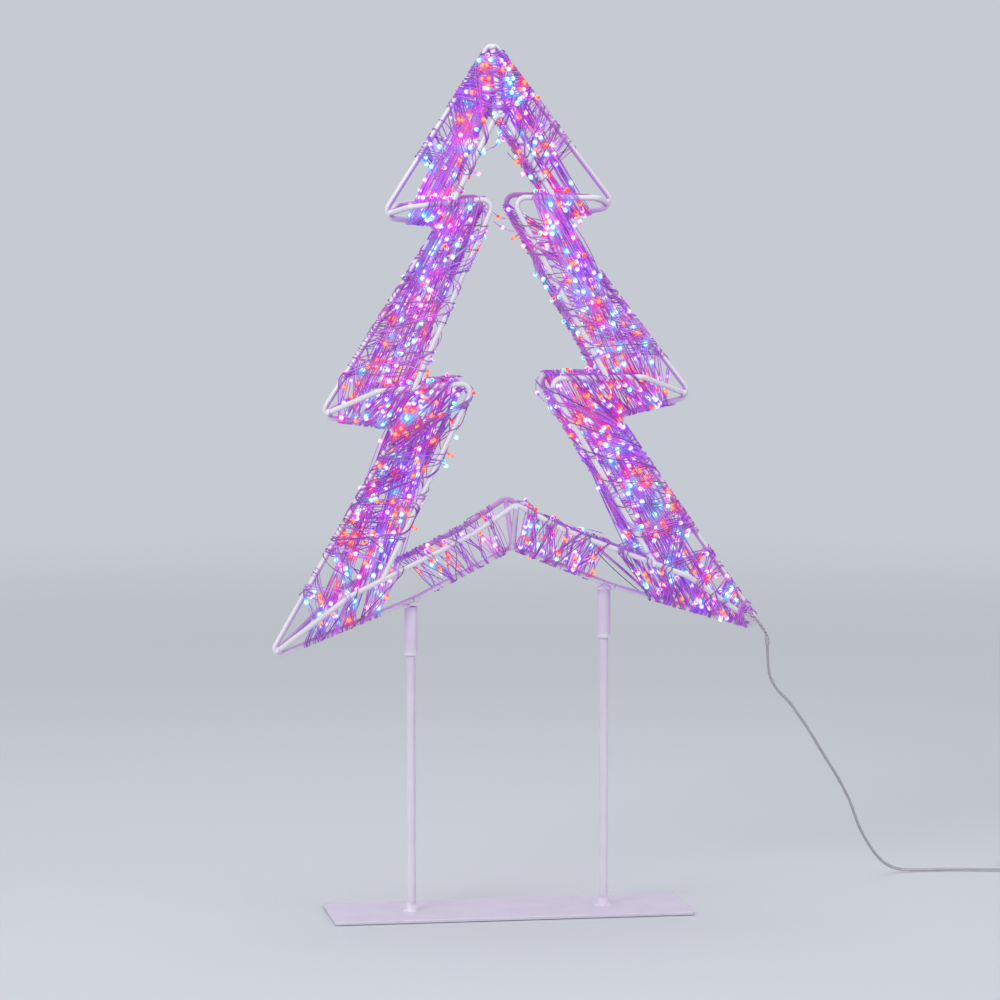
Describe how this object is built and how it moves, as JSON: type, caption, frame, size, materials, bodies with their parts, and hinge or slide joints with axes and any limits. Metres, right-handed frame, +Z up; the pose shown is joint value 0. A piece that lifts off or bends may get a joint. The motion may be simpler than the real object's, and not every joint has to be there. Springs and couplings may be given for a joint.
{
  "type": "led christmas tree",
  "caption": "Free-standing outline of a three-tier tree in white steel rod, wound with multicolour light strings, on a flat plate with posts.",
  "frame": {"origin": "centre of the stand's plate, on its underside, on the surface that it stands on", "axes": "+Z up, -Y is the front, +X to the viewer's right with the lead at the right bottom tip"},
  "size_m": [0.8761, 0.2277, 0.8],
  "materials": {
    "white_steel": "satin white powder coat on steel rod",
    "plate_paint": "smooth satin white paint on steel plate",
    "silver_wire": "bright silver enamelled copper wire with clear resin light drops",
    "clear_cord": "clear soft PVC over tinned conductors",
    "black_plastic": "fine matt moulded",
    "pin_plating": "nickel plated"
  },
  "bodies": {
    "stand": {"base_plate": "plate_paint", "left_post": "white_steel", "right_post": "white_steel", "left_post_weld": "white_steel", "right_post_weld": "white_steel", "lead_cable": "clear_cord", "lead_coil": "clear_cord", "coil_tie": "black_plastic", "adapter_relief": "black_plastic", "adapter_housing": "black_plastic", "adapter_pin_left": "pin_plating", "adapter_pin_right": "pin_plating"},
    "tree": {"left_sleeve": "white_steel", "right_sleeve": "white_steel", "outer_rod_left": "white_steel", "outer_rod_right": "white_steel", "front_chevron_rod": "white_steel", "front_apex_rod": "white_steel", "front_top_strut": "white_steel", "front_bottom_strut": "white_steel", "front_left_lower_rod": "white_steel", "front_left_middle_rod": "white_steel", "front_right_lower_rod": "white_steel", "front_right_middle_rod": "white_steel", "back_chevron_rod": "white_steel", "back_apex_rod": "white_steel", "back_top_strut": "white_steel", "back_bottom_strut": "white_steel", "back_left_lower_rod": "white_steel", "back_left_middle_rod": "white_steel", "back_right_lower_rod": "white_steel", "back_right_middle_rod": "white_steel", "light_string_top_left": "silver_wire", "light_string_top_right": "silver_wire", "light_string_middle_left": "silver_wire", "light_string_middle_right": "silver_wire", "light_string_lower_left": "silver_wire", "light_string_lower_right": "silver_wire", "light_string_bottom_left": "silver_wire", "light_string_bottom_right": "silver_wire", "lead_tie": "silver_wire", "lead_strand_a": "clear_cord", "lead_strand_b": "clear_cord", "lead_splice": "clear_cord"}
  },
  "joints": [
    {"name": "tree_lift", "type": "slide", "parent": "stand", "child": "tree", "axis": [0, 0, 1], "range_m": [0, 0.04]}
  ]
}
